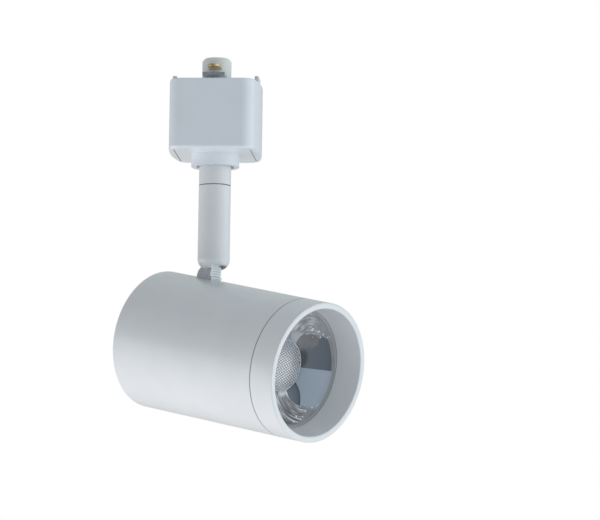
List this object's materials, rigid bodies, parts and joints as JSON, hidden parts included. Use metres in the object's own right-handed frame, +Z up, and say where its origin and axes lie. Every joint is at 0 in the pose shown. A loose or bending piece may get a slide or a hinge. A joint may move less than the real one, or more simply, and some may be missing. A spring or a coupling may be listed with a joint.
{
  "type": "track spotlight",
  "caption": "Cylindrical spotlight head with a recessed clear lens that tilts on a knuckle below a swivelling stem and a box-shaped track adapter.",
  "frame": {"origin": "on the stem's axis, in the plane where the adapter bears on the underside of the track", "axes": "+X along the track, +Y across the track, +Z up into the track"},
  "size_m": [0.0964, 0.0889, 0.1505],
  "materials": {
    "white_moulding": "satin",
    "white_paint": "satin powder coat",
    "grey_casting": "satin",
    "steel": "zinc plated",
    "brass": "plain",
    "insulator": "gloss",
    "key_plastic": "satin",
    "wire_jacket": "satin",
    "nylon": "satin",
    "circuit_board": "solder mask",
    "driver_cases": "moulded",
    "sink_metal": "machined",
    "pad": "soft",
    "ceramic_board": "plain",
    "phosphor": "silicone",
    "holder_plastic": "satin",
    "gasket_rubber": "soft",
    "clear_acrylic": "polished"
  },
  "bodies": {
    "adapter": {"adapter_housing": "white_moulding", "adapter_base": "white_moulding", "housing_screws": "steel", "contact_tower": "insulator", "hanger_bar": "steel", "live_contact": "brass", "neutral_contact": "brass", "lock_springs": "steel", "swivel_collar": "white_paint", "swivel_nipple": "steel", "nipple_washer": "steel", "nipple_nut": "brass", "adapter_wires": "wire_jacket"},
    "lock_key": {"lock_key": "key_plastic"},
    "arm": {"arm_tube": "white_paint", "swivel_bush": "brass", "wave_washer": "steel", "pan_stop_pin": "steel", "pivot_screw": "steel", "arm_wires": "wire_jacket"},
    "head": {"knuckle": "grey_casting", "friction_washers": "nylon", "knuckle_plate": "steel", "knuckle_screws": "steel", "head_shell": "white_paint", "rear_cap": "white_paint", "tie_screws": "steel", "spacers": "nylon", "driver_board": "circuit_board", "driver_parts": "driver_cases", "driver_insulator": "nylon", "heat_sink": "sink_metal", "thermal_pad": "pad", "led_board": "ceramic_board", "led_emitter": "phosphor", "led_holder": "holder_plastic", "led_holder_screws": "steel", "lens_holder": "holder_plastic", "lens_gasket": "gasket_rubber", "lens": "clear_acrylic", "front_ring": "white_paint", "led_wires": "wire_jacket", "head_wires": "wire_jacket"}
  },
  "joints": [
    {"name": "lock_slide", "type": "slide", "parent": "adapter", "child": "lock_key", "axis": [0, 0, 1], "range_m": [-0.0034, 0], "stiffness_N_per_m": 300, "springref_m": 0.003, "deforming": ["lock_springs"]},
    {"name": "pan", "type": "hinge", "parent": "adapter", "child": "arm", "pos_m": [0, 0, -0.0389], "axis": [0, 0, 1], "range_deg": [-135.1, 204.9]},
    {"name": "tilt", "type": "hinge", "parent": "arm", "child": "head", "pos_m": [0, 0, -0.0665], "axis": [0.5721, 0.8202, 0], "range_deg": [-12.8, 77.2]}
  ]
}
